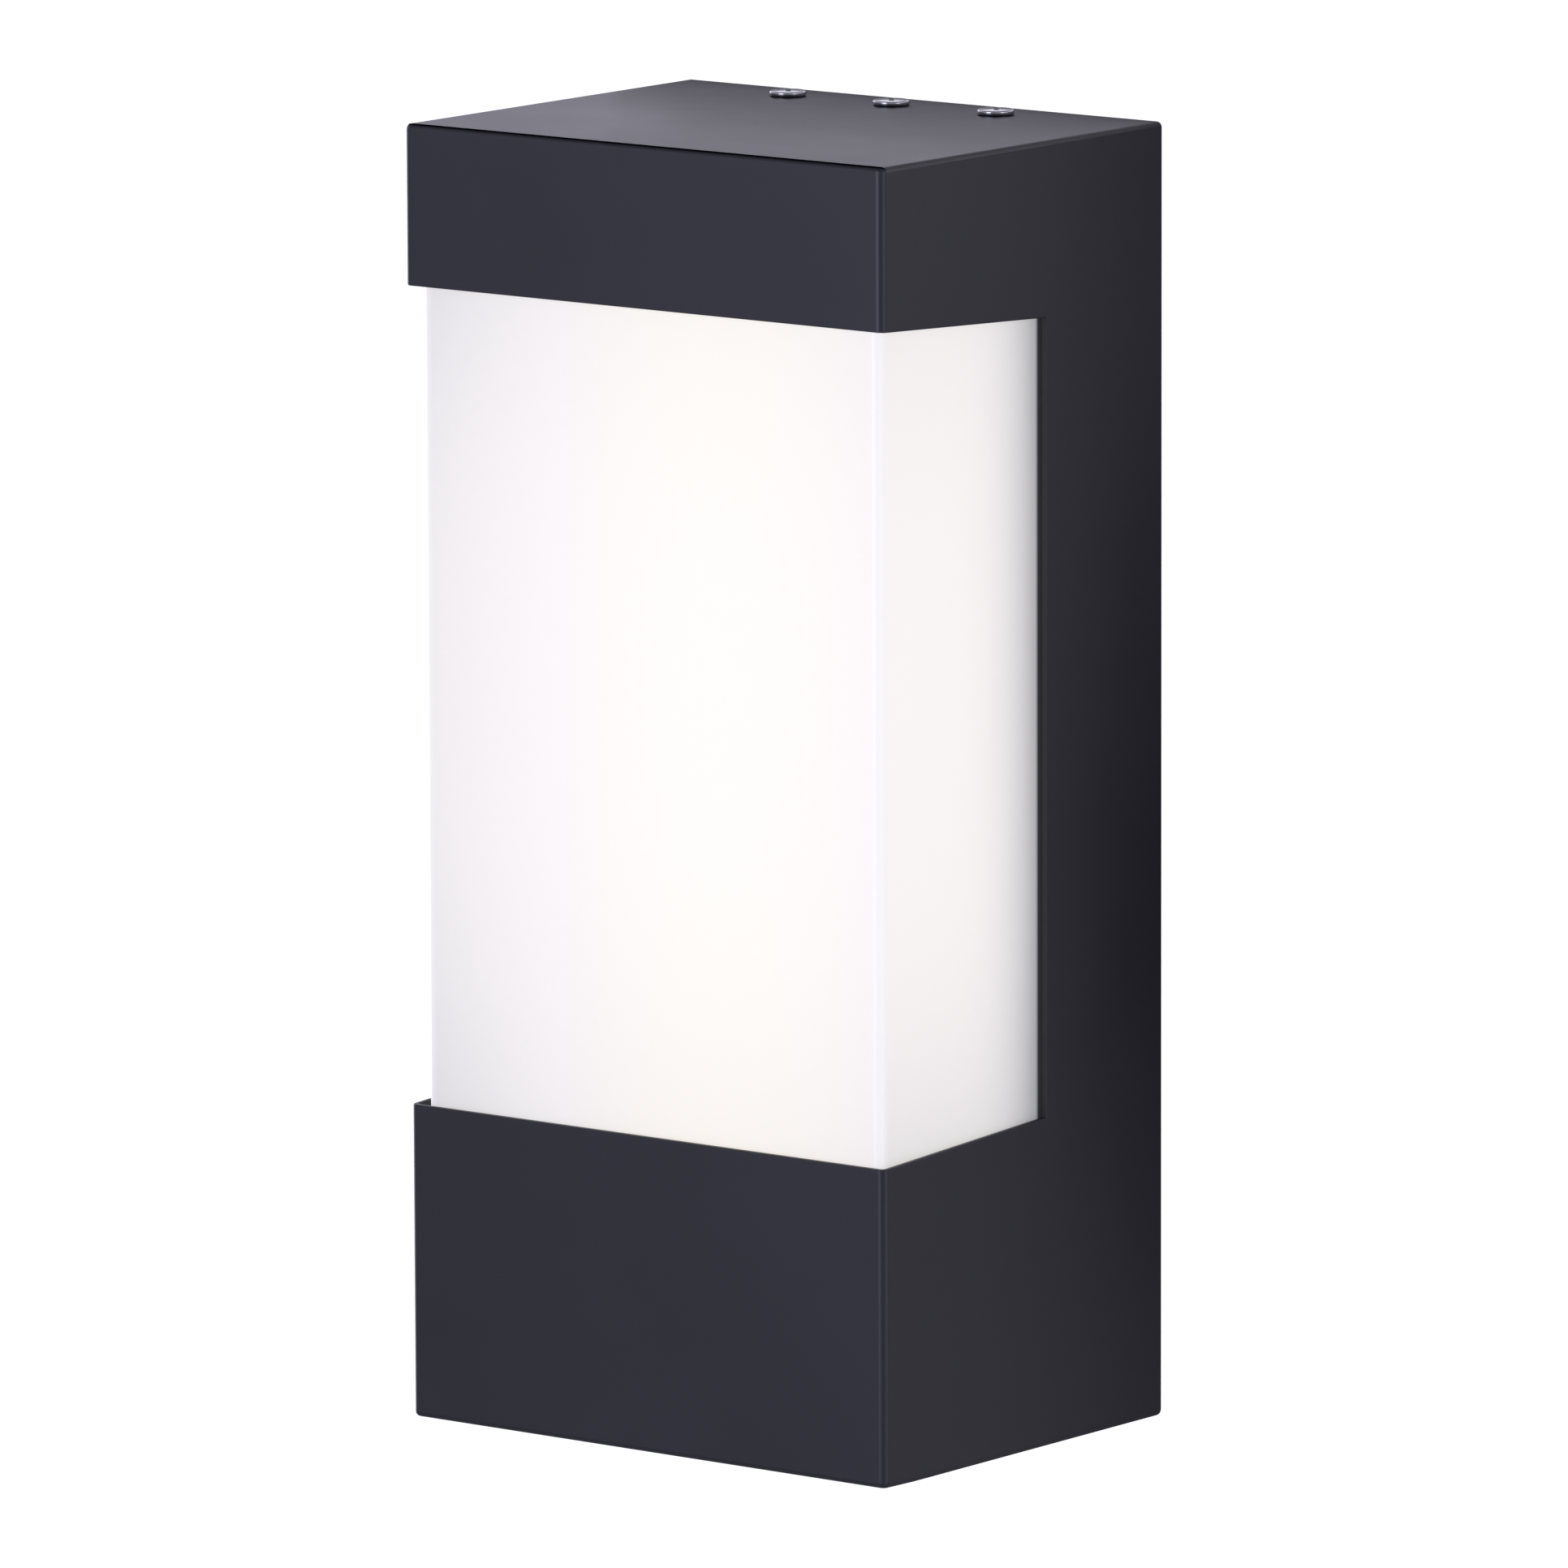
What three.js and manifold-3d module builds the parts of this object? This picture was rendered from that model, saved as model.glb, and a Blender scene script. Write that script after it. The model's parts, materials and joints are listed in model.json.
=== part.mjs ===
// Outdoor wall lantern: a C-shaped folded housing around a lit opal box.
// Three screws through its top hold it to a flange on the wall plate.
// Millimetres. +X is right, the front faces -Y, the wall is the plane y = 0, +Z is up.
// The origin is the centre of the rear face that rests on the wall.
import * as THREE from "three";
import { mergeVertices } from "three/addons/utils/BufferGeometryUtils.js";
import Module from "manifold-3d";

// Overall sizes
const height = 280;
const width = 128;
const depth = 98;

// Housing: one folded sheet with a plate at each end
const sheet = 1.2;
const foldRadius = 1.8;
const capFront = 34.6;
const boxFront = 68.3;
const spineDepth = 41.3;
const windowSlope = 2.9;
const drainRadius = 2.5;
const drainInset = 18;

// Clearances
const gap = 0.3;
const seat = 0.1;
const runningFit = 0.1;

// Opal diffuser box
const diffuserWall = 2.5;
const diffuserCorner = 2;
const diffuserInnerCorner = 0.5;
const diffuserSideInset = 2.8;
const diffuserFrontInset = 2.4;
const diffuserLap = 7;
const diffuserTuck = 6;
const rimGasketThick = 1.4;
const rimGasketWidth = 5;
const foamStripHeight = 4.5;

// Chassis: the tray that carries the board and the driver
const chassisSheet = 1.5;
const chassisFlange = 15;
const chassisEndGap = 5;
const earHeight = 16;
const earNotch = 7;
const ledgeLength = 14;
const ledgeWidth = 12;
const ledgeSpread = 35;

// Light board
const boardWidth = 44;
const boardHeight = 140;
const boardThick = 1.6;
const boardScrewInset = 5;

// Driver
const driverLength = 72;
const driverHeight = 34;
const driverDepth = 22;
const driverWall = 1.6;
const driverEar = 9;
const driverEarThick = 2.4;
const driverHeadroom = 1.1;

// Wall plate and its gasket
const gasketThick = 2;
const plateThick = 1.6;
const plateSideGap = 6.8;
const plateDrop = 22;
const flangeDepth = 19;
const flangeEndInset = 14;
const slotSpacing = 88.9;
const slotLength = 14;
const slotWidth = 5;
const entryDrop = 22;
const grommetBore = 4.5;
const grommetWall = 2.5;
const grommetLip = 1.2;
const grommetFrontLip = 2.4;

// Top screws
const topScrewSpacing = 28;
const topScrewInset = 11;
const topScrewLength = 10;
const topScrewRadius = 2;
const topScrewHead = 4;
const topScrewHeadHeight = 1.3;

// Small fasteners
const studRadius = 2;
const studLength = 9;
const nutAcross = 7;
const nutThick = 3.2;
const smallScrewRadius = 1.5;
const smallScrewHead = 2.8;
const smallScrewHeadHeight = 1.6;
const smallScrewLength = 6;

// Terminal block and leads
const poleCount = 3;
const polePitch = 9;
const blockHeight = 16;
const blockDepth = 14;
const blockDrop = 50;
const blockPort = 1.8;
const clampScrewRadius = 1.9;
const clampScrewDepth = 3;
const leadRadius = 0.9;
const leadSpread = 1.3;
const leadGrommetBore = 2.6;
const leadGrommetWall = 0.8;
const leadGrommetLip = 0.9;
const leadHoleInset = 7.5;
const lugThick = 0.8;
const lugRing = 3.4;
const lugBarrel = 6;
const lugBarrelWall = 0.6;
const earthReach = 42;

// Places that several pieces share
const top = height / 2;
const bottom = -height / 2;
const wrapTop = top - sheet - gap;
const wrapBottom = bottom + sheet + gap;
const innerHalf = width / 2 - sheet;
const windowTop = top - capFront;
const windowBottom = bottom + boxFront;
const diffuserHalf = width / 2 - diffuserSideInset;
const diffuserFront = -depth + diffuserFrontInset;
const diffuserBack = -spineDepth + diffuserTuck;
const diffuserTop = windowTop + diffuserLap;
const diffuserBottom = windowBottom - diffuserLap;
const webFront = diffuserBack + 2 * seat + rimGasketThick;
const webBack = webFront + chassisSheet;
const chassisTop = wrapTop - chassisEndGap;
const chassisBottom = wrapBottom + chassisEndGap;
const chassisHalf = innerHalf - gap;
const chassisBack = webFront + chassisFlange;
const studY = (webFront + chassisBack) / 2;
const studZs = { upper: chassisTop - earHeight / 2, lower: chassisBottom + earHeight / 2 };
const windowMiddle = (windowTop + windowBottom) / 2;
const boardFront = webFront - seat - boardThick;
const plateFront = -gasketThick - seat - plateThick;
const plateBack = -gasketThick - seat;
const plateTop = wrapTop + gap;
const plateBottom = bottom + plateDrop;
const flangeFront = plateFront - flangeDepth + plateThick;
const topScrewY = -topScrewInset;
const leadGrommetRadius = leadGrommetBore + leadGrommetWall + leadGrommetLip;
const driverTop = diffuserBottom - leadHoleInset - leadGrommetRadius - driverHeadroom;
const driverBottom = driverTop - driverHeight;
const driverMiddle = (driverTop + driverBottom) / 2;
const driverBack = webFront - seat;
const blockMiddle = -blockDrop;
const sides = { left: -1, right: 1 };

const wasm = await Module();
wasm.setup();

// A closed three.js geometry as a solid that can be joined and cut.
function solid(geometry) {
  const bare = geometry.index ? geometry.toNonIndexed() : geometry.clone();
  bare.deleteAttribute("normal");
  bare.deleteAttribute("uv");
  const merged = mergeVertices(bare, 1e-5);
  return new wasm.Manifold(
    new wasm.Mesh({
      numProp: 3,
      vertProperties: new Float32Array(merged.attributes.position.array),
      triVerts: new Uint32Array(merged.index.array),
    }),
  );
}

// A box between two corners.
function block(x0, x1, y0, y1, z0, z1) {
  const geometry = new THREE.BoxGeometry(x1 - x0, y1 - y0, z1 - z0);
  geometry.translate((x0 + x1) / 2, (y0 + y1) / 2, (z0 + z1) / 2);
  return solid(geometry);
}

// Turns a shape made along +Z so that it lies along the named axis, then moves it.
function aimed(geometry, axis, x, y, z) {
  if (axis === "x") geometry.rotateY(Math.PI / 2);
  if (axis === "-x") geometry.rotateY(-Math.PI / 2);
  if (axis === "y") geometry.rotateX(-Math.PI / 2);
  if (axis === "-y") geometry.rotateX(Math.PI / 2);
  if (axis === "-z") geometry.rotateX(Math.PI);
  geometry.translate(x, y, z);
  return solid(geometry);
}

// A round bar that starts at a point and runs along an axis.
function rod(radius, length, axis, x, y, z, segments = 24) {
  const geometry = new THREE.CylinderGeometry(radius, radius, length, segments);
  geometry.rotateX(Math.PI / 2);
  geometry.translate(0, 0, length / 2);
  return aimed(geometry, axis, x, y, z);
}

// A turned piece: the profile holds [radius, distance along the axis] pairs and starts and ends on the axis.
function turned(profile, axis, x, y, z, segments = 24) {
  const points = profile.map(([r, h]) => new THREE.Vector2(r, h));
  const geometry = new THREE.LatheGeometry(points, segments);
  geometry.rotateX(Math.PI / 2);
  return aimed(geometry, axis, x, y, z);
}

// A plan outline, drawn in X and Y and raised between two heights.
function raised(shape, z0, z1) {
  const settings = { depth: z1 - z0, bevelEnabled: false, curveSegments: 6 };
  const geometry = new THREE.ExtrudeGeometry(shape, settings);
  geometry.translate(0, 0, z0);
  return solid(geometry);
}

// The plan of a box with its two front corners rounded and its back left square.
function frontRounded(half, front, back, radius) {
  const shape = new THREE.Shape();
  shape.moveTo(-half, back);
  shape.lineTo(-half, front + radius);
  shape.absarc(-half + radius, front + radius, radius, Math.PI, Math.PI * 1.5);
  shape.lineTo(half - radius, front);
  shape.absarc(half - radius, front + radius, radius, Math.PI * 1.5, Math.PI * 2);
  shape.lineTo(half, back);
  return shape;
}

// A hexagon nut with its bore, along an axis.
function nut(bore, axis, x, y, z) {
  const body = rod(nutAcross / Math.sqrt(3), nutThick, axis, x, y, z, 6);
  return body.subtract(rod(bore, nutThick * 3, axis, ...back(axis, nutThick, x, y, z)));
}

// The point a distance behind another along an axis.
function back(axis, distance, x, y, z) {
  const step = axis.startsWith("-") ? distance : -distance;
  if (axis.endsWith("x")) return [x + step, y, z];
  if (axis.endsWith("y")) return [x, y + step, z];
  return [x, y, z + step];
}

// A domed screw whose head rests at a point and stands out along the axis; the shaft runs the other way.
function screw(shaft, head, headHeight, length, axis, x, y, z) {
  const recessWidth = head * 0.22;
  const recessReach = head * 0.62;
  const recessDepth = headHeight * 0.6;
  const profile = [
    [0, -length],
    [shaft * 0.6, -length],
    [shaft, -length + shaft * 0.5],
    [shaft, 0],
    [head, 0],
    [head, headHeight * 0.35],
    [head * 0.9, headHeight * 0.72],
    [head * 0.7, headHeight * 0.93],
    [0, headHeight],
  ];
  let body = turned(profile, axis, x, y, z);
  for (const quarter of [0, 1]) {
    const bar = new THREE.BoxGeometry(recessReach * 2, recessWidth, recessDepth * 2);
    bar.rotateZ((quarter * Math.PI) / 2);
    bar.translate(0, 0, headHeight);
    body = body.subtract(aimed(bar, axis, x, y, z));
  }
  return body;
}

// A small fixing screw, the same everywhere inside but for its length.
function smallScrew(axis, x, y, z, length = smallScrewLength) {
  return screw(smallScrewRadius, smallScrewHead, smallScrewHeadHeight, length, axis, x, y, z);
}

// A flexible lead of round section along a smooth curve through the points.
function lead(points, radius) {
  const curve = new THREE.CatmullRomCurve3(points.map((p) => new THREE.Vector3(...p)), false, "centripetal");
  const section = new THREE.Shape();
  const sectionSides = 8;
  for (let i = 0; i < sectionSides; i++) {
    const angle = (i / sectionSides) * Math.PI * 2;
    const [x, y] = [Math.cos(angle) * radius, Math.sin(angle) * radius];
    if (i === 0) section.moveTo(x, y);
    else section.lineTo(x, y);
  }
  const steps = Math.ceil(curve.getLength() / (radius * 5));
  return solid(new THREE.ExtrudeGeometry(section, { steps, bevelEnabled: false, extrudePath: curve }));
}

// Finishes
function finish(color, roughness, metalness) {
  return new THREE.MeshStandardMaterial({ color, roughness, metalness });
}
const finishes = {
  blackCoat: finish(0x24242c, 0.45, 0.1),
  opal: finish(0xfaf8f4, 0.4, 0),
  brightSteel: finish(0xc4c6ca, 0.25, 1),
  zincSteel: finish(0xaeb2b4, 0.4, 0.9),
  whiteSteel: finish(0xe6e6e2, 0.5, 0.1),
  foam: finish(0x2a2a2a, 0.95, 0),
  rubber: finish(0x1b1b1b, 0.8, 0),
  boardWhite: finish(0xf1f2ee, 0.5, 0),
  driverPlastic: finish(0xdedfdb, 0.55, 0),
  blockPlastic: finish(0xcfcabb, 0.6, 0),
  brass: finish(0xb99a4e, 0.35, 1),
  redLead: finish(0xb0231d, 0.5, 0),
  blackLead: finish(0x161616, 0.5, 0),
  whiteLead: finish(0xe8e8e4, 0.5, 0),
  greenLead: finish(0x2b7a3b, 0.5, 0),
};

const lantern = new THREE.Group();

// Puts a solid into the lantern under its own name.
function add(name, shape, material) {
  const made = shape.getMesh();
  const geometry = new THREE.BufferGeometry();
  geometry.setAttribute("position", new THREE.BufferAttribute(new Float32Array(made.vertProperties), 3));
  geometry.setIndex(new THREE.BufferAttribute(new Uint32Array(made.triVerts), 1));
  geometry.computeVertexNormals();
  const mesh = new THREE.Mesh(geometry, material);
  mesh.name = name;
  lantern.add(mesh);
}

const past = 2; // how far a cutting shape runs past the face that it cuts

// Housing wrap: sheet folded round the front and both sides, with the window cut through it.
{
  const outer = raised(frontRounded(width / 2, -depth, 0, foldRadius), wrapBottom, wrapTop);
  const innerRadius = foldRadius - sheet;
  const inner = raised(
    frontRounded(innerHalf, -depth + sheet, past, innerRadius),
    wrapBottom - past,
    wrapTop + past,
  );
  // The window's side outline, drawn in depth and height and pushed across the whole width.
  const outline = new THREE.Shape();
  const slopeAt = (windowSlope * past) / (depth - spineDepth);
  outline.moveTo(-depth - past, windowBottom - slopeAt);
  outline.lineTo(-spineDepth, windowBottom + windowSlope);
  outline.lineTo(-spineDepth, windowTop - windowSlope);
  outline.lineTo(-depth - past, windowTop + slopeAt);
  const cut = new THREE.ExtrudeGeometry(outline, { depth: width + 2 * past, bevelEnabled: false });
  cut.rotateX(Math.PI / 2);
  cut.rotateZ(Math.PI / 2);
  cut.translate(-width / 2 - past, 0, 0);
  add("housing_wrap", outer.subtract(inner).subtract(solid(cut)), finishes.blackCoat);
}

// End plates, flush with the wrap all round; the top one has the screw holes, the bottom one the drain holes.
const topScrewXs = { left: -topScrewSpacing, middle: 0, right: topScrewSpacing };
{
  const plan = () => frontRounded(width / 2, -depth, 0, foldRadius);
  let topPlate = raised(plan(), top - sheet, top);
  for (const x of Object.values(topScrewXs)) {
    const hole = rod(topScrewRadius + gap, sheet + 2 * past, "z", x, topScrewY, top - sheet - past);
    topPlate = topPlate.subtract(hole);
  }
  add("top_plate", topPlate, finishes.blackCoat);
  let bottomPlate = raised(plan(), bottom, bottom + sheet);
  for (const side of Object.values(sides)) {
    const x = side * (width / 2 - drainInset);
    bottomPlate = bottomPlate.subtract(
      rod(drainRadius, sheet + 2 * past, "z", x, -depth + drainInset, bottom - past),
    );
  }
  add("bottom_plate", bottomPlate, finishes.blackCoat);
}

// Diffuser: an opal box, open at the back. It laps behind the cap and the lower box and tucks into the spine.
{
  const outer = raised(
    frontRounded(diffuserHalf, diffuserFront, diffuserBack, diffuserCorner),
    diffuserBottom,
    diffuserTop,
  );
  const inner = raised(
    frontRounded(
      diffuserHalf - diffuserWall,
      diffuserFront + diffuserWall,
      diffuserBack + past,
      diffuserInnerCorner,
    ),
    diffuserBottom + diffuserWall,
    diffuserTop - diffuserWall,
  );
  add("diffuser", outer.subtract(inner), finishes.opal);
}

// Rim gasket: a flat ring between the diffuser's back edge and the chassis.
{
  const front = diffuserBack + seat;
  const backFace = front + rimGasketThick;
  const ring = block(-diffuserHalf, diffuserHalf, front, backFace, diffuserBottom, diffuserTop);
  const inside = block(
    -diffuserHalf + rimGasketWidth,
    diffuserHalf - rimGasketWidth,
    front - past,
    backFace + past,
    diffuserBottom + rimGasketWidth,
    diffuserTop - rimGasketWidth,
  );
  add("rim_gasket", ring.subtract(inside), finishes.foam);
}

// Foam strips behind the cap front and the lower box front, where the diffuser leans on them.
{
  const half = diffuserHalf - diffuserCorner;
  const front = -depth + sheet + seat;
  const backFace = diffuserFront - seat;
  const zs = { upper: windowTop + (diffuserLap - foamStripHeight) / 2 + gap, lower: 0 };
  zs.lower = windowBottom - (diffuserLap + foamStripHeight) / 2 - gap;
  for (const [place, z] of Object.entries(zs)) {
    add(`${place}_foam_strip`, block(-half, half, front, backFace, z, z + foamStripHeight), finishes.foam);
  }
}

// Chassis: a folded tray with its flanges to the wall, open slots for the studs, and ledges for the diffuser.
const boardScrewXs = [-1, 1].map((side) => side * (boardWidth / 2 - boardScrewInset));
const boardScrewZs = [-1, 1].map((side) => windowMiddle + side * (boardHeight / 2 - boardScrewInset));
const driverScrewX = driverLength / 2 + driverEar / 2;
const leadHoles = {
  board: [0, diffuserBottom + diffuserWall + leadHoleInset],
  output: [driverLength / 2 - leadHoleInset, diffuserBottom - leadHoleInset],
  input: [-driverLength / 2 + leadHoleInset, diffuserBottom - leadHoleInset],
};
const blockScrewX = polePitch / 2;
{
  const outer = block(-chassisHalf, chassisHalf, webFront, chassisBack, chassisBottom, chassisTop);
  const inner = block(
    -chassisHalf + chassisSheet,
    chassisHalf - chassisSheet,
    webBack,
    chassisBack + past,
    chassisBottom - past,
    chassisTop + past,
  );
  let tray = outer.subtract(inner);
  const earInside = chassisHalf - chassisSheet;
  const notches = [
    [chassisTop - earHeight, chassisTop + past],
    [chassisBottom - past, chassisBottom + earHeight],
  ];
  for (const [z0, z1] of notches) {
    for (const side of Object.values(sides)) {
      const ends = [side * earInside, side * (earInside - earNotch)].sort((a, b) => a - b);
      tray = tray.subtract(block(...ends, webFront - past, webBack + past, z0, z1));
    }
  }
  const slotHalf = studRadius + gap;
  for (const z of Object.values(studZs)) {
    for (const side of Object.values(sides)) {
      const ends = [side * (chassisHalf + past), side * (earInside - past)].sort((a, b) => a - b);
      tray = tray.subtract(block(...ends, webFront - past, studY, z - slotHalf, z + slotHalf));
      tray = tray.subtract(rod(slotHalf, ends[1] - ends[0], "x", ends[0], studY, z));
    }
  }
  for (const side of Object.values(sides)) {
    for (const z0 of [diffuserTop + gap, diffuserBottom - gap - chassisSheet]) {
      const x = side * ledgeSpread;
      tray = tray.add(
        block(x - ledgeWidth / 2, x + ledgeWidth / 2, webFront - ledgeLength, webBack, z0, z0 + chassisSheet),
      );
    }
  }
  const holeAt = (radius, x, z) => rod(radius, chassisSheet + 2 * past, "y", x, webFront - past, z);
  const smallHole = smallScrewRadius + runningFit;
  for (const x of boardScrewXs) {
    for (const z of boardScrewZs) tray = tray.subtract(holeAt(smallHole, x, z));
  }
  for (const side of Object.values(sides)) {
    tray = tray.subtract(holeAt(smallHole, side * driverScrewX, driverMiddle));
  }
  const grommetHole = leadGrommetBore + leadGrommetWall + runningFit;
  for (const [x, z] of Object.values(leadHoles)) tray = tray.subtract(holeAt(grommetHole, x, z));
  for (const x of [blockScrewX, earthReach]) tray = tray.subtract(holeAt(smallHole, x, blockMiddle));
  add("chassis", tray, finishes.whiteSteel);
}

// Studs welded inside the housing's sides, and the nuts that hold the chassis to them.
for (const [sideName, side] of Object.entries(sides)) {
  for (const [level, z] of Object.entries(studZs)) {
    const inward = side > 0 ? "-x" : "x";
    const start = side * (innerHalf - seat);
    const stud = rod(studRadius, studLength, inward, start, studY, z);
    add(`weld_stud_${level}_${sideName}`, stud, finishes.zincSteel);
    const nutStart = side * (chassisHalf - chassisSheet - seat);
    const studNut = nut(studRadius + runningFit, inward, nutStart, studY, z);
    add(`stud_nut_${level}_${sideName}`, studNut, finishes.zincSteel);
  }
}

// Light board with its four screws and its lead connector.
{
  const half = boardWidth / 2;
  const [z0, z1] = [windowMiddle - boardHeight / 2, windowMiddle + boardHeight / 2];
  let board = block(-half, half, boardFront, boardFront + boardThick, z0, z1);
  for (const x of boardScrewXs) {
    for (const z of boardScrewZs) {
      board = board.subtract(
        rod(smallScrewRadius + gap, boardThick + 2 * past, "y", x, boardFront - past, z),
      );
    }
  }
  add("led_board", board, finishes.boardWhite);
  const names = ["lower", "upper"];
  boardScrewXs.forEach((x, i) => {
    boardScrewZs.forEach((z, j) => {
      const fixing = smallScrew("-y", x, boardFront - seat, z);
      add(`board_screw_${names[j]}_${Object.keys(sides)[i]}`, fixing, finishes.zincSteel);
    });
  });
}
const connector = { half: 4, depth: 5, height: 6 };
const connectorBottom = windowMiddle - boardHeight / 2 + gap;
{
  const backFace = boardFront - seat;
  let body = block(
    -connector.half,
    connector.half,
    backFace - connector.depth,
    backFace,
    connectorBottom,
    connectorBottom + connector.height,
  );
  for (const side of Object.values(sides)) {
    const socketDepth = connector.height / 2;
    body = body.subtract(
      rod(
        leadRadius + gap,
        socketDepth + past,
        "z",
        side * leadSpread,
        backFace - connector.depth / 2,
        connectorBottom - past,
        16,
      ),
    );
  }
  add("led_connector", body, finishes.boardWhite);
}

// Driver: a moulded case and its lid, on two ears.
const driverFront = driverBack - driverDepth;
const lidThick = driverWall;
const portY = (driverFront + driverBack) / 2;
{
  const half = driverLength / 2;
  const earFront = driverBack - driverEarThick;
  let body = block(-half, half, driverFront + lidThick + seat, driverBack, driverBottom, driverTop);
  body = body.add(
    block(
      -half - driverEar,
      half + driverEar,
      earFront,
      driverBack,
      driverMiddle - driverEar / 2,
      driverMiddle + driverEar / 2,
    ),
  );
  body = body.subtract(
    block(
      -half + driverWall,
      half - driverWall,
      driverFront - past,
      driverBack - driverWall,
      driverBottom + driverWall,
      driverTop - driverWall,
    ),
  );
  for (const side of Object.values(sides)) {
    const x = side * driverScrewX;
    body = body.subtract(
      rod(smallScrewRadius + gap, driverEarThick + 2 * past, "y", x, earFront - past, driverMiddle),
    );
  }
  for (const [middle] of [leadHoles.output, leadHoles.input]) {
    for (const side of Object.values(sides)) {
      const x = middle + side * leadSpread;
      body = body.subtract(
        rod(leadRadius + gap, driverWall + 2 * past, "z", x, portY, driverTop - driverWall - past, 16),
      );
    }
  }
  add("driver_case", body, finishes.driverPlastic);
  add(
    "driver_lid",
    block(-half, half, driverFront, driverFront + lidThick, driverBottom, driverTop),
    finishes.driverPlastic,
  );
  for (const [name, side] of Object.entries(sides)) {
    const fixing = smallScrew("-y", side * driverScrewX, earFront - seat, driverMiddle);
    add(`driver_screw_${name}`, fixing, finishes.zincSteel);
  }
}

// Top screws, the only fasteners that show, with their nuts pressed under the wall plate's flange.
for (const [name, x] of Object.entries(topScrewXs)) {
  const body = screw(
    topScrewRadius,
    topScrewHead,
    topScrewHeadHeight,
    topScrewLength,
    "z",
    x,
    topScrewY,
    top + seat,
  );
  add(`top_screw_${name}`, body, finishes.brightSteel);
  const nutTop = plateTop - gap - plateThick - seat;
  add(`flange_nut_${name}`, nut(topScrewRadius + runningFit, "-z", x, topScrewY, nutTop), finishes.zincSteel);
}

// Wall plate: upright plate with a flange along its top edge for the three screws, slots and a cable hole.
const slotZs = [-1, 1].map((side) => (side * slotSpacing) / 2);
const grommetOuter = grommetBore + grommetWall;
const entryZ = -entryDrop;

// Cuts the two fixing slots and the cable hole through a sheet between two depths.
function cutForWall(body, y0, y1, holeRadius) {
  let out = body;
  const straight = (slotLength - slotWidth) / 2;
  const reach = y1 - y0 + 2 * past;
  for (const z of slotZs) {
    const [z0, z1] = [z - slotWidth / 2, z + slotWidth / 2];
    out = out.subtract(block(-straight, straight, y0 - past, y1 + past, z0, z1));
    for (const side of Object.values(sides)) {
      out = out.subtract(rod(slotWidth / 2, reach, "y", side * straight, y0 - past, z));
    }
  }
  return out.subtract(rod(holeRadius, reach, "y", 0, y0 - past, entryZ));
}
{
  const half = innerHalf - plateSideGap;
  const flangeHalf = half - flangeEndInset;
  const flangeTop = plateTop - gap;
  let plate = block(-half, half, plateFront, plateBack, plateBottom, flangeTop);
  let flange = block(-flangeHalf, flangeHalf, flangeFront, plateBack, flangeTop - plateThick, flangeTop);
  for (const x of Object.values(topScrewXs)) {
    flange = flange.subtract(
      rod(topScrewRadius + gap, plateThick + 2 * past, "z", x, topScrewY, flangeTop - plateThick - past),
    );
  }
  plate = cutForWall(plate.add(flange), plateFront, plateBack, grommetOuter + runningFit);
  add("wall_plate", plate, finishes.zincSteel);
  const pad = block(-half, half, -gasketThick, 0, plateBottom, flangeTop);
  add("wall_gasket", cutForWall(pad, -gasketThick, 0, grommetOuter + grommetLip), finishes.foam);
}

// Cable grommet: a rubber ring with a groove that grips the edge of the wall plate's hole.
{
  const groove = plateThick + 2 * seat;
  const lipRadius = grommetOuter + grommetLip - gap;
  const profile = [
    [grommetBore, 0],
    [lipRadius, 0],
    [lipRadius, gasketThick - 2 * seat],
    [grommetOuter, gasketThick - 2 * seat],
    [grommetOuter, gasketThick - 2 * seat + groove],
    [lipRadius, gasketThick - 2 * seat + groove],
    [lipRadius, gasketThick - 2 * seat + groove + grommetFrontLip],
    [grommetBore, gasketThick - 2 * seat + groove + grommetFrontLip],
    [grommetBore, 0],
  ];
  add("cable_grommet", turned(profile, "-y", 0, -seat, entryZ), finishes.rubber);
}

// Terminal block on the back of the chassis: one port and one clamp screw for each pole.
const blockHalf = (poleCount * polePitch) / 2 + blockPort;
const blockBottom = blockMiddle - blockHeight / 2;
const blockFront = webBack + seat;
const blockBack = blockFront + blockDepth;
const blockPortY = blockFront + blockDepth / 2 - blockPort;
const poleXs = [-1, 0, 1].map((place) => place * polePitch);
const clampZ = blockMiddle + blockHeight / 4;
{
  let body = block(-blockHalf, blockHalf, blockFront, blockBack, blockBottom, blockBottom + blockHeight);
  for (const x of poleXs) {
    body = body.subtract(rod(blockPort, blockHeight + 2 * past, "z", x, blockPortY, blockBottom - past, 16));
    const seatY = blockBack - clampScrewDepth - gap;
    body = body.subtract(
      rod(clampScrewRadius + gap, clampScrewDepth + past + gap, "y", x, seatY, clampZ),
    );
  }
  body = body.subtract(
    rod(smallScrewRadius + gap, blockDepth + 2 * past, "y", blockScrewX, blockFront - past, blockMiddle),
  );
  add("terminal_block", body, finishes.blockPlastic);
}

// Clamp screws, one a pole, with a driver slot across each.
const poleNames = ["live", "neutral", "earth"];
poleXs.forEach((x, i) => {
  const y = blockBack - clampScrewDepth;
  const slotHalf = clampScrewRadius / 6;
  const body = rod(clampScrewRadius, clampScrewDepth, "y", x, y, clampZ).subtract(
    block(
      x - clampScrewRadius,
      x + clampScrewRadius,
      blockBack - 3 * slotHalf,
      blockBack + past,
      clampZ - slotHalf,
      clampZ + slotHalf,
    ),
  );
  add(`clamp_screw_${poleNames[i]}`, body, finishes.brass);
});
{
  const fixing = smallScrew("y", blockScrewX, blockBack + seat, blockMiddle, blockDepth + chassisSheet);
  add("terminal_block_screw", fixing, finishes.zincSteel);
}

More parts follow.
